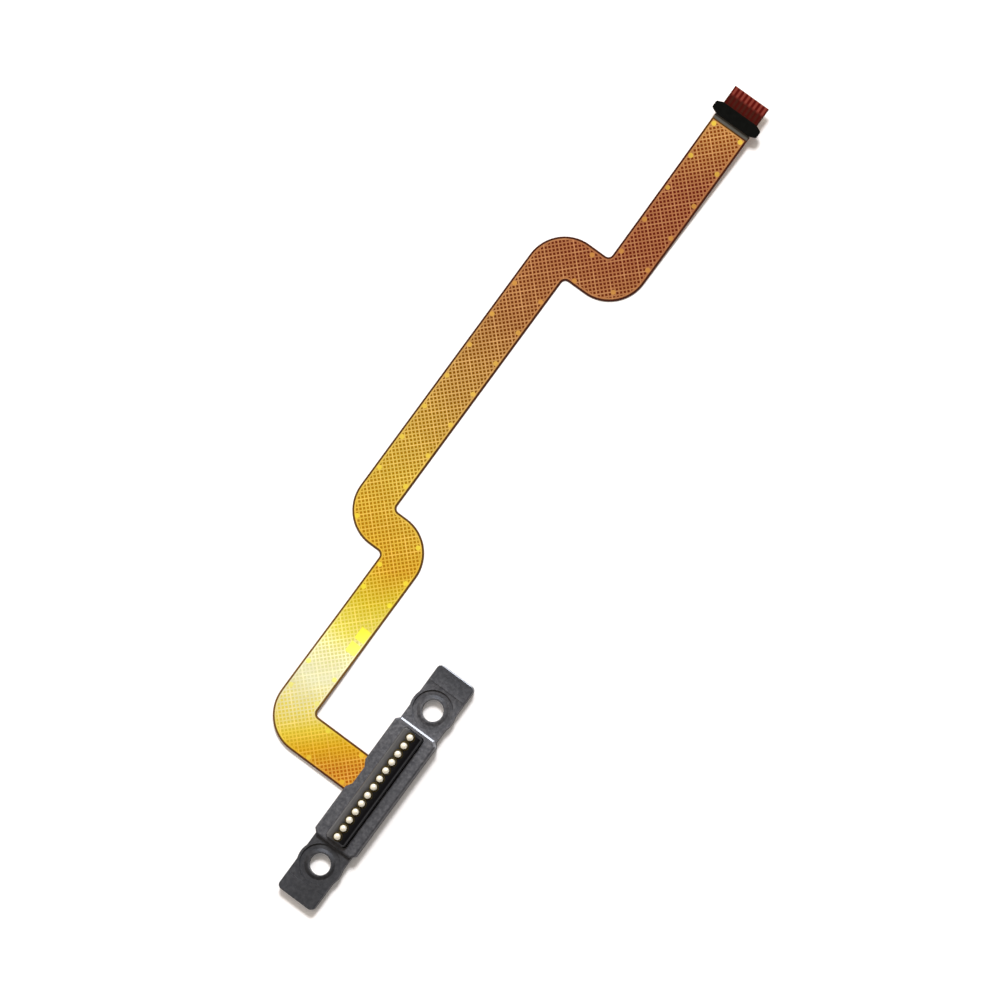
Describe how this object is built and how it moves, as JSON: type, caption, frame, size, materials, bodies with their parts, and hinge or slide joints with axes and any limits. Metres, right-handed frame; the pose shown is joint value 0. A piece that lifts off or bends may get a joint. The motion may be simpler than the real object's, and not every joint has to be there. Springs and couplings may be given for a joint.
{
  "type": "flexible circuit strip",
  "caption": "Stepped copper-shielded flex strip with a screw-down spring-contact connector at one end and a stiffened, eared plug-in tail at the other",
  "frame": {"origin": "midway between the two screw holes, on the bracket's underside", "axes": "+X along the contact row and the strip's straight runs towards the tail, +Y the side on which the strip leaves the connector, +Z out of the contacts"},
  "size_m": [0.0901, 0.0217, 0.0033],
  "materials": {
    "bracket_moulding": "dark grey moulded nylon, fine matte texture",
    "carrier_moulding": "black liquid-crystal polymer, smooth and glossy",
    "contact_plating": "bright gold plating over brass",
    "spring_steel": "fine stainless wire",
    "solder": "dull solder",
    "glass_epoxy": "glass and epoxy sheet",
    "polyimide_film": "amber translucent film, satin gloss",
    "copper": "copper under a clear amber cover film",
    "grey_adhesive": "grey adhesive tape",
    "tail_plate": "dark red stiffener sheet",
    "black_bar": "black moulded bar"
  },
  "bodies": {
    "root": {"bracket": "bracket_moulding", "contact_carrier": "carrier_moulding", "solder_joints": "solder", "head_stiffener": "glass_epoxy", "flex_film": "polyimide_film", "copper_shield": "copper", "far_fingers": "contact_plating", "near_fingers": "contact_plating", "plate_adhesive": "grey_adhesive", "tail_stiffener": "tail_plate", "eared_bar": "black_bar", "contact_spring_01": "spring_steel", "contact_spring_02": "spring_steel", "contact_spring_03": "spring_steel", "contact_spring_04": "spring_steel", "contact_spring_05": "spring_steel", "contact_spring_06": "spring_steel", "contact_spring_07": "spring_steel", "contact_spring_08": "spring_steel", "contact_spring_09": "spring_steel", "contact_spring_10": "spring_steel", "contact_spring_11": "spring_steel", "contact_spring_12": "spring_steel", "contact_spring_13": "spring_steel"},
    "contact_01": {"contact_plunger_01": "contact_plating"},
    "contact_02": {"contact_plunger_02": "contact_plating"},
    "contact_03": {"contact_plunger_03": "contact_plating"},
    "contact_04": {"contact_plunger_04": "contact_plating"},
    "contact_05": {"contact_plunger_05": "contact_plating"},
    "contact_06": {"contact_plunger_06": "contact_plating"},
    "contact_07": {"contact_plunger_07": "contact_plating"},
    "contact_08": {"contact_plunger_08": "contact_plating"},
    "contact_09": {"contact_plunger_09": "contact_plating"},
    "contact_10": {"contact_plunger_10": "contact_plating"},
    "contact_11": {"contact_plunger_11": "contact_plating"},
    "contact_12": {"contact_plunger_12": "contact_plating"},
    "contact_13": {"contact_plunger_13": "contact_plating"}
  },
  "joints": [
    {"name": "contact_01_slide", "type": "slide", "parent": "root", "child": "contact_01", "axis": [0, 0, -1], "range_m": [0, 0.0004], "stiffness_N_per_m": 800, "deforming": ["contact_spring_01"]},
    {"name": "contact_02_slide", "type": "slide", "parent": "root", "child": "contact_02", "axis": [0, 0, -1], "range_m": [0, 0.0004], "stiffness_N_per_m": 800, "deforming": ["contact_spring_02"]},
    {"name": "contact_03_slide", "type": "slide", "parent": "root", "child": "contact_03", "axis": [0, 0, -1], "range_m": [0, 0.0004], "stiffness_N_per_m": 800, "deforming": ["contact_spring_03"]},
    {"name": "contact_04_slide", "type": "slide", "parent": "root", "child": "contact_04", "axis": [0, 0, -1], "range_m": [0, 0.0004], "stiffness_N_per_m": 800, "deforming": ["contact_spring_04"]},
    {"name": "contact_05_slide", "type": "slide", "parent": "root", "child": "contact_05", "axis": [0, 0, -1], "range_m": [0, 0.0004], "stiffness_N_per_m": 800, "deforming": ["contact_spring_05"]},
    {"name": "contact_06_slide", "type": "slide", "parent": "root", "child": "contact_06", "axis": [0, 0, -1], "range_m": [0, 0.0004], "stiffness_N_per_m": 800, "deforming": ["contact_spring_06"]},
    {"name": "contact_07_slide", "type": "slide", "parent": "root", "child": "contact_07", "axis": [0, 0, -1], "range_m": [0, 0.0004], "stiffness_N_per_m": 800, "deforming": ["contact_spring_07"]},
    {"name": "contact_08_slide", "type": "slide", "parent": "root", "child": "contact_08", "axis": [0, 0, -1], "range_m": [0, 0.0004], "stiffness_N_per_m": 800, "deforming": ["contact_spring_08"]},
    {"name": "contact_09_slide", "type": "slide", "parent": "root", "child": "contact_09", "axis": [0, 0, -1], "range_m": [0, 0.0004], "stiffness_N_per_m": 800, "deforming": ["contact_spring_09"]},
    {"name": "contact_10_slide", "type": "slide", "parent": "root", "child": "contact_10", "axis": [0, 0, -1], "range_m": [0, 0.0004], "stiffness_N_per_m": 800, "deforming": ["contact_spring_10"]},
    {"name": "contact_11_slide", "type": "slide", "parent": "root", "child": "contact_11", "axis": [0, 0, -1], "range_m": [0, 0.0004], "stiffness_N_per_m": 800, "deforming": ["contact_spring_11"]},
    {"name": "contact_12_slide", "type": "slide", "parent": "root", "child": "contact_12", "axis": [0, 0, -1], "range_m": [0, 0.0004], "stiffness_N_per_m": 800, "deforming": ["contact_spring_12"]},
    {"name": "contact_13_slide", "type": "slide", "parent": "root", "child": "contact_13", "axis": [0, 0, -1], "range_m": [0, 0.0004], "stiffness_N_per_m": 800, "deforming": ["contact_spring_13"]}
  ]
}
